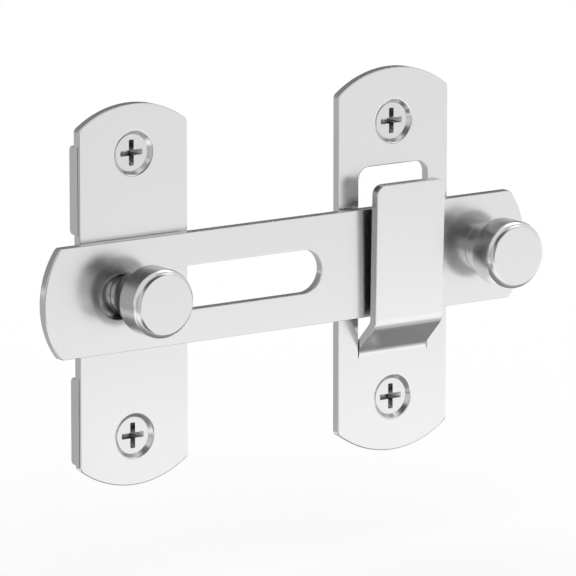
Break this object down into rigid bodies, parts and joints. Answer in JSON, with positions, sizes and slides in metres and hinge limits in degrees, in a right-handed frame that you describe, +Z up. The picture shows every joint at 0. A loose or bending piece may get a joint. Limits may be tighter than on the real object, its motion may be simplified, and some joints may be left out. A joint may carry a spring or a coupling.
{
  "type": "barn door flip latch",
  "caption": "Flip latch for a sliding barn door: a slotted bar swings and slides on a base plate's pivot and drops into a hook folded out of a catch plate.",
  "frame": {"origin": "centre of the four wall screws' rectangle, in the plane of the wall", "axes": "+Y into the wall, +X from the base plate to the catch plate along the latch bar, +Z up"},
  "size_m": [0.1147, 0.0337, 0.078],
  "materials": {
    "satin_sheet": "satin brushed",
    "satin_bar": "satin brushed",
    "knob_steel": "satin turned",
    "turned_steel": "turned",
    "wall_screw_steel": "satin",
    "pivot_steel": "satin turned"
  },
  "bodies": {
    "mounting": {"base_plate": "satin_sheet", "base_screw_upper": "wall_screw_steel", "base_screw_lower": "wall_screw_steel", "catch_plate": "satin_sheet", "catch_screw_upper": "wall_screw_steel", "catch_screw_lower": "wall_screw_steel", "pivot_stud": "turned_steel", "pivot_washer": "pivot_steel", "pivot_knob": "knob_steel"},
    "bush": {"pivot_bush": "pivot_steel"},
    "bar": {"latch_bar": "satin_bar", "handle_knob": "knob_steel", "handle_screw": "turned_steel"}
  },
  "joints": [
    {"name": "flip", "type": "hinge", "parent": "mounting", "child": "bush", "pos_m": [-0.0324, 0, 0.0006], "axis": [0, -1, 0], "range_deg": [0, 270]},
    {"name": "bar_slide", "type": "slide", "parent": "bush", "child": "bar", "axis": [1, 0, 0], "range_m": [-0.0398, 0.0033]}
  ],
  "couplings": [
    {"joint": "bar_slide", "follows": "flip", "m_per_rad": -0.00843}
  ]
}
